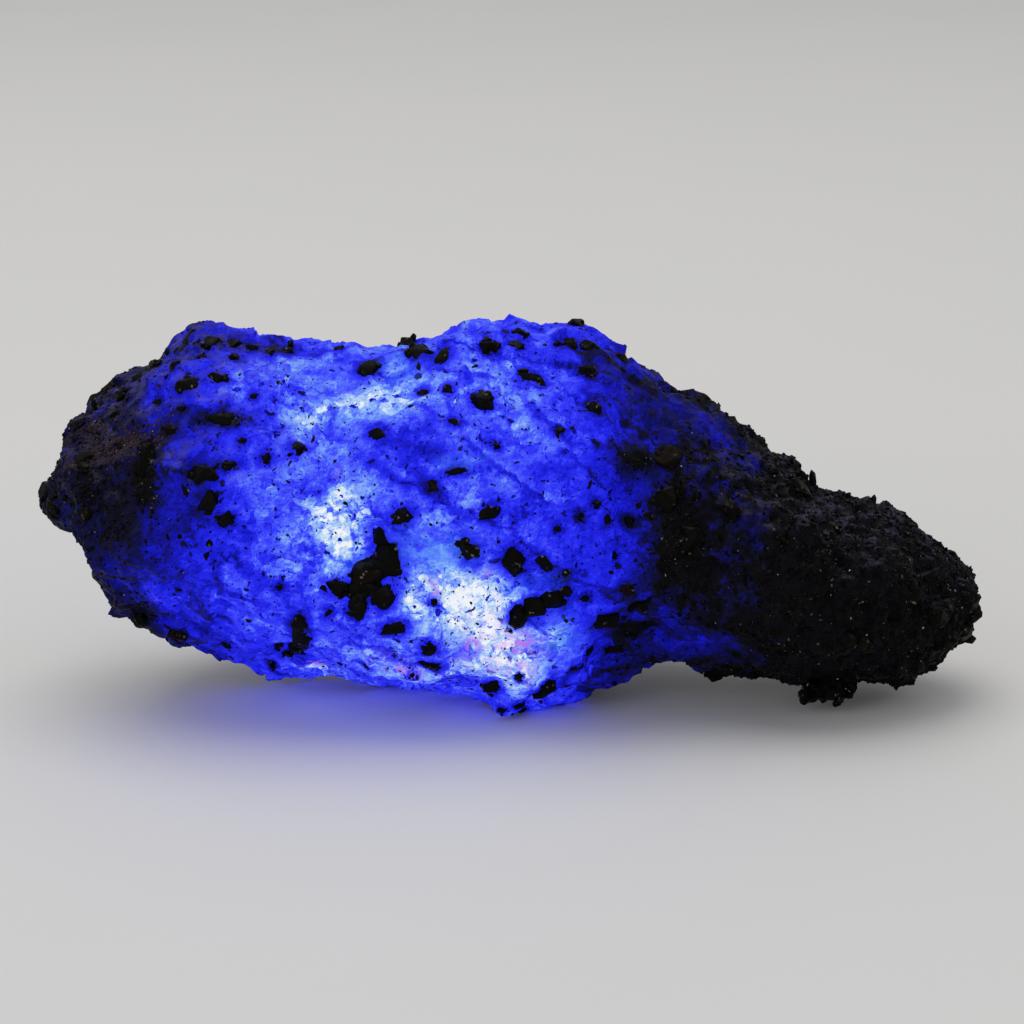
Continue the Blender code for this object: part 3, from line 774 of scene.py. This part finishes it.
# On the front: right of and above the view's middle, length, width, tilt in degrees
FRONT_GRAINS = (
    (-9.6, -3.9, 4.6, 2.9, 80),
    (-11.5, -5.2, 4.0, 3.0, 15),
    (-10.5, -4.6, 3.6, 3.0, 45),
    (-10.4, -2.0, 1.8, 1.5, 70),
    (-10.2, -6.8, 2.6, 1.9, 15),
    (-11.2, -6.0, 2.6, 1.7, 10),
    (-12.2, -7.3, 2.4, 1.8, 70),
    (-12.6, -6.2, 2.2, 1.6, 25),
    (-13.9, -6.1, 2.2, 1.4, -20),
    (-16.8, -9.9, 3.4, 1.7, 80),
    (-16.9, -8.8, 2.0, 1.5, 80),
    (-17.2, -10.9, 2.0, 1.4, 75),
    (-18.6, -10.6, 1.4, 0.9, 90),
    (3.0, -7.2, 3.9, 1.5, 25),
    (0.5, -8.3, 2.2, 1.8, 60),
    (1.8, -7.9, 2.8, 1.6, 30),
    (4.2, -6.4, 1.4, 0.9, 20),
    (0.1, -3.8, 2.9, 1.9, -55),
    (-3.6, -3.1, 2.4, 1.4, -60),
    (-23.9, 0.6, 2.4, 2.1, 30),
    (-22.8, -0.6, 1.5, 1.3, 0),
    (-25.7, 10.2, 2.3, 1.4, 10),
    (-23.4, 10.7, 1.8, 1.0, -15),
    (-1.9, 12.9, 2.1, 1.8, 80),
    (-5.5, 12.4, 2.0, 1.1, 90),
    (-7.4, 12.7, 2.4, 1.9, -60),
    (-8.5, 13.7, 1.6, 1.3, 20),
    (-11.4, 11.5, 1.6, 1.4, 60),
    (0.4, 13.2, 1.4, 1.0, 10),
    (1.4, 10.8, 2.2, 0.9, 10),
    (-8.8, -0.3, 1.8, 1.3, 15),
    (-1.6, 0.0, 1.7, 1.1, 10),
    (-23.1, 7.4, 3.4, 1.1, -5),
    (-17.1, 5.0, 1.6, 1.2, -30),
    (-10.6, 6.2, 1.7, 1.1, -30),
    (-24.8, 3.1, 2.4, 1.3, -20),
    (-22.8, 3.7, 2.1, 0.9, 5),
    (-27.2, 6.5, 1.9, 0.9, -10),
    (-28.9, 4.2, 3.2, 2.0, 80),
    (9.2, -0.8, 1.3, 1.1, -30),
    (2.6, -4.3, 1.5, 0.9, -60),
    (9.1, -6.2, 1.3, 1.0, 0),
    (-9.3, -9.3, 2.7, 1.1, 15),
    (-6.4, -12.2, 1.8, 1.3, 20),
    (-6.5, -10.9, 1.3, 1.2, 0),
    (2.9, -14.1, 2.2, 1.2, 10),
    (7.5, -8.8, 2.2, 1.3, 0),
    (4.4, 13.5, 2.0, 0.9, -5),
    (6.1, 13.2, 1.7, 0.9, -10),
    (5.8, 11.2, 1.8, 1.2, -10),
    (9.5, 12.4, 1.5, 1.0, -45),
    (6.6, 8.3, 1.5, 0.9, -30),
    (12.3, 1.0, 2.6, 2.2, 0),
    (13.9, -2.6, 2.8, 2.0, 70),
    (12.6, 4.4, 2.6, 2.0, -20),
    (24.0, 3.0, 1.9, 1.0, 80),
    (28.6, 0.5, 1.6, 1.1, 60),
    (36.7, -7.3, 2.2, 1.6, 30),
    (36.1, -9.7, 1.8, 1.3, 10),
    (-33.0, 9.2, 1.4, 0.7, 60),
    (-37.2, 1.8, 2.0, 1.6, 80),
    (-36.6, 0.4, 1.8, 1.4, 50),
    (-13.7, 13.0, 1.1, 0.5, 10),
    (-17.9, 12.9, 1.1, 0.5, 0),
    (-22.0, 12.4, 0.8, 0.7, 0),
    (-7.0, 9.5, 1.0, 0.7, 0),
    (-5.1, 9.8, 1.0, 0.8, 0),
    (-4.6, 7.2, 1.0, 0.5, -20),
    (-4.6, 3.2, 2.1, 0.6, 10),
    (-6.3, 2.0, 1.3, 0.9, -30),
    (2.4, 10.2, 1.2, 0.6, -50),
    (0.9, 11.2, 1.0, 0.6, 20),
    (3.9, 6.6, 0.7, 0.5, 40),
    (-1.3, 5.2, 0.9, 0.6, 10),
    (5.5, -0.4, 1.0, 0.6, 90),
    (3.6, -1.4, 0.7, 0.6, 0),
    (7.6, -0.6, 1.0, 0.6, 80),
    (6.8, 0.7, 0.7, 0.6, 0),
    (4.3, -4.8, 0.7, 0.6, 0),
    (8.1, -3.5, 0.7, 0.7, 0),
    (5.8, -6.9, 0.9, 0.6, 20),
    (6.2, -11.1, 0.8, 0.7, 0),
    (8.6, -11.0, 0.8, 0.6, 0),
    (-6.2, -7.2, 0.7, 0.6, 0),
    (-11.7, -12.2, 0.9, 0.6, 10),
    (-7.9, -13.0, 0.6, 0.5, 0),
    (0.5, -13.2, 0.7, 0.7, 0),
    (4.9, -12.5, 0.8, 0.5, 0),
    (-0.9, -15.8, 0.8, 0.5, 0),
    (0.7, -15.4, 1.2, 0.5, 0),
    (0.8, -16.0, 0.8, 0.6, 0),
    (-19.5, 4.3, 1.0, 0.8, 90),
    (-18.5, -6.0, 0.6, 0.5, 0),
    (-14.6, -8.0, 0.9, 0.5, 45),
    (-19.1, -12.1, 1.0, 0.7, 90),
    (-27.0, -11.0, 1.6, 0.9, -20),
    (-23.8, -12.2, 1.0, 0.7, -20),
    (-30.4, -9.5, 1.4, 0.9, -30),
    (-25.8, 13.7, 2.2, 1.0, 10),
    (-23.8, 13.5, 2.0, 1.1, -5),
    (-22.1, 13.4, 1.5, 0.8, -15),
    (-20.7, 13.1, 1.3, 0.7, -10),
    (-19.2, 12.8, 1.1, 0.6, -5),
    (-27.3, 12.7, 1.4, 0.7, 40),
    (-28.6, 11.6, 1.3, 0.8, 45),
    (-29.8, 10.6, 1.5, 0.8, 45),
    (-31.2, 9.4, 1.2, 0.8, 45),
    (-27.0, 11.6, 0.9, 0.6, 30),
    (-24.9, 12.3, 0.9, 0.6, 0),
    (-28.2, 8.7, 1.3, 0.7, 20),
    (-26.3, 8.2, 0.9, 0.6, 0),
    (-20.6, 9.2, 0.7, 0.5, 0),
    (-21.5, 5.6, 0.8, 0.6, 20),
)

# On the back, which the photograph doesn't show, as seen from there
BACK_GRAINS = (
    (20.0, 9.0, 2.0, 1.2, 20),
    (17.5, 3.5, 2.6, 1.6, -30),
    (13.0, 10.5, 1.4, 1.0, 0),
    (11.0, 6.0, 2.2, 1.4, 50),
    (8.5, 0.5, 1.6, 1.1, 10),
    (6.0, 9.8, 1.8, 1.2, -20),
    (3.5, 4.5, 1.2, 0.9, 70),
    (1.0, 11.5, 2.0, 1.3, 10),
    (-0.5, -1.5, 2.4, 1.3, -40),
    (-3.0, 6.5, 1.5, 1.1, 30),
    (-5.5, 1.5, 2.0, 1.2, 80),
    (-7.0, 9.0, 1.6, 1.0, -10),
    (14.5, -4.0, 2.4, 1.2, 25),
    (10.0, -7.0, 1.6, 1.1, -15),
    (5.0, -5.0, 1.3, 0.9, 0),
    (2.0, -9.5, 2.2, 1.0, 10),
    (-4.0, -7.5, 1.7, 1.1, -35),
    (-8.5, -3.5, 1.8, 1.3, 60),
    (21.5, -2.0, 1.8, 1.3, 45),
    (24.5, 5.5, 2.0, 1.4, -60),
    (16.0, 8.0, 1.0, 0.8, 0),
    (-10.0, 4.5, 2.2, 1.5, 20),
    (7.0, 4.0, 0.9, 0.7, 0),
    (-1.5, 3.0, 0.8, 0.6, 30),
    (12.5, 1.5, 1.0, 0.7, 0),
    (4.0, -1.0, 0.9, 0.6, 0),
)

# Splinters that stand up from the outline: right of and above the view's middle, height, width, tilt
SPLINTERS = (
    (24.0, 2.1, 2.1, 0.7, 95),
    (23.4, 1.9, 1.3, 0.7, 110),
    (28.7, 0.6, 1.3, 0.6, 80),
    (36.0, -10.0, 1.6, 0.9, -15),
    (36.8, -8.2, 1.2, 0.8, 10),
    (-33.9, 9.0, 1.4, 0.6, 100),
    (-8.0, 13.6, 1.2, 0.7, 75),
    (-17.6, 13.2, 0.8, 0.6, 95),
)
SPLINTER_LIFT = 0.4  # how far its middle stands off the surface, as a share of its height

# The lump of grains that hangs under the right end and touches the ground: x, y, z, radius
LOW_LUMP = (
    (23.9, -5.0, 1.6, 1.6),
    (25.4, -4.8, 1.7, 1.7),
    (26.6, -4.7, 2.1, 1.3),
    (25.0, -3.4, 1.7, 1.6),
)
LUMP_CRYSTALS = 16  # in each part of that lump

GRAIN_SEED = 11
GRAIN_STANDS = 0.5  # half the height of a crystal, as a share of its width
GRAIN_SUNK = 0.4  # how deep its middle lies under the surface, as a share of that half
MAIN_SHARE = 1.22  # the main crystal's size as a share of the grain's, as part of it is under the surface
RIM_CRYSTALS = 6
RIM_SIZE = (0.28, 0.52)  # as a share of the whole grain's width
RIM_WIDEST = 1.8  # a wider grain's rim crystals are no larger than on one this wide
CRUMBS = 5
CRUMB_SIZE = (0.08, 0.24)
STEEPEST = 0.68  # on steeper faces a grain's size isn't stretched further
SHADE_REACH = 0.28  # painted shade: the stone's glow is darker within this distance of a grain
SHADE_DEPTH = 0.36

SCATTER_SEED = 1100
SCATTER_TRIES = 230
SCATTER_LENGTH = (1.0, 2.4)
SCATTER_WIDTH = (0.6, 0.95)  # as a share of the length
FEW = 0.12  # share of the tries that leave a grain on the blue faces
HALF = 0.5  # and on the left tip's crust
LEFT_CRUST_ENDS = -30.0
CLEAR_OF_GROUND = 1.7  # scattered grains stay this far above the ground

MOULD_SEED = 77
MOULDS = 24
SPIRAL_TURN = math.radians(137.5)  # each corner stands this far round from the last, which spreads them evenly


def grain_moulds(corners, wear, uneven):
    """Angular shapes 1 across, with their edges worn by a share of that, to be copied in many sizes."""
    dice = random.Random(MOULD_SEED)
    moulds = []
    for _ in range(MOULDS):
        bm = bmesh.new()
        for k in range(corners):
            level = 1.0 - 2.0 * (k + 0.5) / corners
            ring = math.sqrt(1.0 - level * level)
            spin = k * SPIRAL_TURN + dice.uniform(-0.5, 0.5)
            grow = 0.5 * (1.0 + dice.uniform(-uneven, 0.4 * uneven))
            bm.verts.new((math.cos(spin) * ring * grow, math.sin(spin) * ring * grow, level * grow))
        hull = bmesh.ops.convex_hull(bm, input=bm.verts)
        inside = [v for v in hull["geom_interior"] if isinstance(v, bmesh.types.BMVert)]
        bmesh.ops.delete(bm, geom=inside, context="VERTS")
        if wear:
            bmesh.ops.bevel(bm, geom=bm.edges, offset=wear, segments=1, affect="EDGES")
        bmesh.ops.triangulate(bm, faces=bm.faces)
        bm.verts.index_update()
        points = np.array([v.co for v in bm.verts])
        faces = np.array([[v.index for v in f.verts] for f in bm.faces])
        bm.free()
        moulds.append((points, faces))
    return moulds


def unit(vectors):
    return vectors / np.linalg.norm(vectors, axis=1, keepdims=True)


def cast(name, moulds, places, outs, alongs, sizes, material):
    """One mesh of many grains: each is a mould stretched to its size and turned to lie along the surface."""
    kinds = np.arange(len(places)) % MOULDS
    points, faces, count = [], [], 0
    for kind, (corners, sides) in enumerate(moulds):
        mine = np.flatnonzero(kinds == kind)
        out = outs[mine]
        side = unit(np.cross(out, alongs[mine]))
        axes = np.stack([np.cross(side, out), side, out], axis=1)
        shaped = corners[None] * sizes[mine][:, None]
        placed = np.einsum("nij,njk->nik", shaped, axes) + places[mine][:, None]
        starts = count + np.arange(len(mine)) * len(corners)
        points.append(placed.reshape(-1, 3))
        faces.append((sides[None] + starts[:, None, None]).reshape(-1, 3))
        count += len(mine) * len(corners)
    points = np.concatenate(points)
    points[:, 2] = np.maximum(points[:, 2], 0.0)
    mesh = bpy.data.meshes.new(name)
    mesh.from_pydata((points * MM).tolist(), [], np.concatenate(faces).tolist())
    mesh.materials.append(material)
    made = bpy.data.objects.new(name, mesh)
    bpy.context.scene.collection.objects.link(made)
    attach(made, "root")


crystals = []  # place, way out, way along, and size of each
crumbs = []


def add_crystal(rows, place, out, along, length, width, stands=GRAIN_STANDS):
    sunk = place - out * width * stands * GRAIN_SUNK
    rows.append((tuple(sunk), tuple(out), tuple(along), (length, width, 2.0 * width * stands)))


shade = np.zeros(len(stone_points))  # how near each point of the stone is to a grain, up to 1, for the painted shade round the grains


def add_grain(place, out, along, length, width, dice):
    """One named grain: a crystal, smaller ones round its rim, crumbs beside it, and painted shade on the stone's
    glow.
    """
    side = out.cross(along).normalized()
    along = side.cross(out).normalized()
    offset = stone_points - np.array(place)
    far = (offset @ along / (length / 2 + SHADE_REACH)) ** 2 + (offset @ side / (width / 2 + SHADE_REACH)) ** 2
    far += (offset @ out / (length / 2 + SHADE_REACH)) ** 2
    np.maximum(shade, np.exp(-(far**2)), out=shade)
    add_crystal(crystals, place, out, along, length * MAIN_SHARE, width * MAIN_SHARE)
    for k in range(RIM_CRYSTALS):
        spin = (k + dice.uniform(0.1, 0.9)) * math.tau / RIM_CRYSTALS
        beside = along * math.cos(spin) * length * 0.34 + side * math.sin(spin) * width * 0.34
        lean = (out + beside.normalized() * dice.uniform(-0.4, 0.5)).normalized()
        size = min(width, RIM_WIDEST) * dice.uniform(*RIM_SIZE)
        turned = Quaternion(out, dice.uniform(0.0, math.tau)) @ along
        add_crystal(crystals, place + beside, lean, turned, size * dice.uniform(1.0, 1.6), size)
    for _ in range(CRUMBS):
        spin = dice.uniform(0.0, math.tau)
        far = dice.uniform(0.52, 0.85)
        beside = along * math.cos(spin) * length * far + side * math.sin(spin) * width * far
        spot, way, _, _ = stone_tree.find_nearest(place + beside)
        size = dice.uniform(*CRUMB_SIZE)
        add_crystal(crumbs, spot, way, along, size * dice.uniform(1.0, 2.0), size, 0.35)


def stretch(direction, out):
    """How much larger a grain must be along a direction of the view to look its size on a face that slopes."""
    return 1.0 / max(direction.cross(out).length, STEEPEST)


for turn, grains in ((0.0, FRONT_GRAINS), (180.0, BACK_GRAINS)):
    for k, (across, above, length, width, tilt) in enumerate(grains):
        place, out, right, up = seen_from(turn, across, above)
        along = right * math.cos(math.radians(tilt)) + up * math.sin(math.radians(tilt))
        side = up * math.cos(math.radians(tilt)) - right * math.sin(math.radians(tilt))
        dice = random.Random(GRAIN_SEED + int(turn) + k)
        add_grain(place, out, along, length * stretch(along, out), width * stretch(side, out), dice)

# The same kind of grains all round the stone: close together on the crust, few on the blue faces.
for k in range(SCATTER_TRIES):
    dice = random.Random(SCATTER_SEED + k)
    struck = struck_vertex(ball, dice)
    place, out = Vector(stone_points[struck]), Vector(stone_normals[struck])
    crowd = HALF if place.x < LEFT_CRUST_ENDS else max(FEW, crust[struck])
    if dice.random() > crowd or place.z < CLEAR_OF_GROUND:
        continue
    length = dice.uniform(*SCATTER_LENGTH)
    along = Vector([dice.uniform(-1.0, 1.0) for _ in range(3)])
    add_grain(place, out, along, length, length * dice.uniform(*SCATTER_WIDTH), dice)

# Painted shade: the glow is darker close round each grain.
glow *= 1.0 - SHADE_DEPTH * shade
stone.data.attributes["glow"].data.foreach_set("value", glow.astype(np.float32))

for across, above, height, width, tilt in SPLINTERS:
    place, _, right, up = seen_from(0.0, across, above)
    way = right * math.cos(math.radians(tilt)) + up * math.sin(math.radians(tilt))
    middle = place + way * height * SPLINTER_LIFT
    add_crystal(crystals, middle, way, Vector((0.0, 1.0, 0.0)), width, width, height / (2 * width))

dice = random.Random(GRAIN_SEED)
for x, y, z, radius in LOW_LUMP:
    for _ in range(LUMP_CRYSTALS):
        out = Vector([dice.gauss(0.0, 1.0) for _ in range(3)]).normalized()
        along = Vector([dice.gauss(0.0, 1.0) for _ in range(3)])
        size = radius * dice.uniform(0.35, 0.75)
        add_crystal(crystals, Vector((x, y, z)) + out * radius * 0.6, out, along, size * 1.3, size)


def grain_finish():
    """Black with an olive cast. Some faces are brown, those that look up hold dust and a painted sheen,
    and a few small patches are painted pale as glints.
    """
    look = Finish("black_grain")
    shade = look.node("NewGeometry")
    mottled = look.grain(0.5, 4.0, 0.6)
    black = look.blend(mottled, linear(3, 3, 3), linear(12, 11, 8))
    brown = look.blend(mottled, linear(8, 5, 4), linear(26, 18, 12))
    tone = look.blend(look.fade(shade.outputs["Random Per Island"], 0.85, 0.97), black, brown)
    # Painted glints: a few small cells are pale.
    painted_glint = look.cells(0.20).outputs["Color"]
    painted_glint = look.times(look.math("GREATER_THAN", painted_glint, 0.80), look.fade(look.grain(0.9), 0.52, 0.66))
    tone = look.blend(painted_glint, tone, linear(104, 100, 82))
    # Dust and a painted sheen on faces that look up.
    upward = look.node("SeparateXYZ", {0: shade.outputs["Normal"]}).outputs["Z"]
    top_dust_and_sheen = look.times(look.fade(upward, 0.60, 1.0), look.fade(look.grain(1.2, 3.0), 0.40, 0.64))
    look.wire(look.shader, {
        "Base Color": look.blend(top_dust_and_sheen, tone, linear(44, 43, 46)),
        "Roughness": look.fade(look.grain(0.7), 0.35, 0.65, 0.35, 0.6),
        "Specular IOR Level": 0.05,
        "Normal": look.bumped(look.grain(0.22, 2.0), 0.06, 0.6),
    })
    return look.material


def cast_rows(name, moulds, rows, material):
    cast(name, moulds, *(np.array(column) for column in zip(*rows)), material)


black_grain = grain_finish()
small_moulds = grain_moulds(9, 0.0, 0.30)
cast_rows("dark_crystals", grain_moulds(12, 0.03, 0.20), crystals, black_grain)
cast_rows("crumbs", small_moulds, crumbs, black_grain)


# The crust.
# Thousands of black grains well under a millimetre, packed over the right end and thinly over the left tip,
# and sown as specks on the blue faces. They are the same mineral as the dark crystals.
CRUST_GRAINS = 12000
CRUST_GRAIN_SIZE = (0.10, 0.52)
TIP_GRAINS = 3600
TIP_GRAIN_SIZE = (0.08, 0.44)
SPECKS = 6000
SPECK_SIZE = (0.05, 0.32)
DOTS = 420
DOT_SIZE = (0.25, 0.75)

stone.data.calc_loop_triangles()
sides = np.empty(3 * len(stone.data.loop_triangles), dtype=np.int32)
stone.data.loop_triangles.foreach_get("vertices", sides)
sides = sides.reshape(-1, 3)
edges = stone_points[sides[:, 1:]] - stone_points[sides[:, :1]]
side_areas = np.linalg.norm(np.cross(edges[:, 0], edges[:, 1]), axis=1)


def strew(name, count, crowd, span, small, flatness, material, seed, lift=0.0, lean=0.0):
    """Strews grains over the stone, more of them where the crowd is thick. Most of them are small."""
    dice = np.random.default_rng(seed)
    share = side_areas * crowd[sides].mean(axis=1)
    chosen = sides[dice.choice(len(sides), count, p=share / share.sum())]
    mix = dice.dirichlet((1.0, 1.0, 1.0), count)[:, :, None]
    places = (stone_points[chosen] * mix).sum(axis=1)
    outs = unit((stone_normals[chosen] * mix).sum(axis=1) + dice.normal(0.0, lean, (count, 3)))
    size = span[0] + (span[1] - span[0]) * dice.random(count) ** small
    stretch = [dice.uniform(1.0, 1.8, count), dice.uniform(0.8, 1.1, count), dice.uniform(*flatness, count)]
    sizes = size[:, None] * np.stack(stretch, axis=1)
    cast(name, small_moulds, places + outs * lift, outs, dice.normal(size=(count, 3)), sizes, material)


x = stone_points[:, 0]
on_right = smooth_step(cover_and_shade, 0.3, 0.75) * (x > 0.0)
on_left = smooth_step(-x, 25.0, 34.0) * (0.2 + cover_and_shade) + smooth_step(cover_and_shade, 0.2, 0.5) * (x < -5.0)
strew("crust_grains", CRUST_GRAINS, on_right, CRUST_GRAIN_SIZE, 2.4, (0.6, 1.2), black_grain, 301)
strew("tip_grains", TIP_GRAINS, on_left, TIP_GRAIN_SIZE, 2.4, (0.5, 1.0), black_grain, 302)
strew("specks", SPECKS, (x < 16.0) * (1.05 - cover_and_shade), SPECK_SIZE, 3.0, (0.2, 0.5), black_grain, 303)
dotted = (0.25 + smooth_step(x, -2.0, 9.0) + smooth_step(-x, 18.0, 28.0)) * (x < 14.0)
strew("dots", DOTS, dotted, DOT_SIZE, 1.8, (0.3, 0.6), black_grain, 304)


# The glints and the rusty grains.
# Thin mica flakes lie among the black grains, painted pale as glints. On the left shoulder the weathered grains
# are rusty brown, with pinkish flakes, also painted glints, between them.
GLINT_FLAKES = 420
GLINT_FLAKE_SIZE = (0.06, 0.20)
RUSTY = 1300
RUSTY_SIZE = (0.10, 0.42)
RUSTY_PLACES = (
    (-31.4, 4.9, 3.4, 1.0, 14, 1.0),
    (-33.4, 6.4, 2.0, 1.2, 35, 0.5),
)


def painted_glint_finish():
    """Thin flakes painted pale as glints, from olive grey to pinkish white."""
    look = Finish("mica_painted_glint")
    shade = look.node("NewGeometry").outputs["Random Per Island"]
    pale = look.blend(shade, linear(128, 124, 108), linear(196, 184, 186))
    look.wire(look.shader, {
        "Base Color": look.blend(look.grain(0.3), pale, linear(96, 90, 78)),
        "Roughness": look.fade(look.grain(0.5), 0.3, 0.7, 0.2, 0.4),
    })
    return look.material


def rusty_finish():
    """Weathered grains, from dark plum brown to rust."""
    look = Finish("rusty_grain")
    shade = look.node("NewGeometry").outputs["Random Per Island"]
    dark = look.blend(shade, linear(20, 14, 18), linear(72, 44, 46))
    look.wire(look.shader, {
        "Base Color": look.blend(look.grain(0.4, 3.0), dark, linear(34, 26, 34)),
        "Roughness": look.fade(look.grain(0.6), 0.3, 0.7, 0.5, 0.8),
        "Specular IOR Level": 0.2,
    })
    return look.material


rusty = np.clip(ovals(stone_points, 0.0, RUSTY_PLACES), 0.0, 1.0)
strew("rusty_grains", RUSTY, rusty, RUSTY_SIZE, 2.0, (0.5, 0.9), rusty_finish(), 401)
glinting = 0.25 * on_right + 1.8 * rusty + 0.05 * (x < -24.0) + 0.008
strew("mica_painted_glints", GLINT_FLAKES, glinting, GLINT_FLAKE_SIZE, 1.6, (0.15, 0.25), painted_glint_finish(), 402, lift=0.09, lean=0.5)
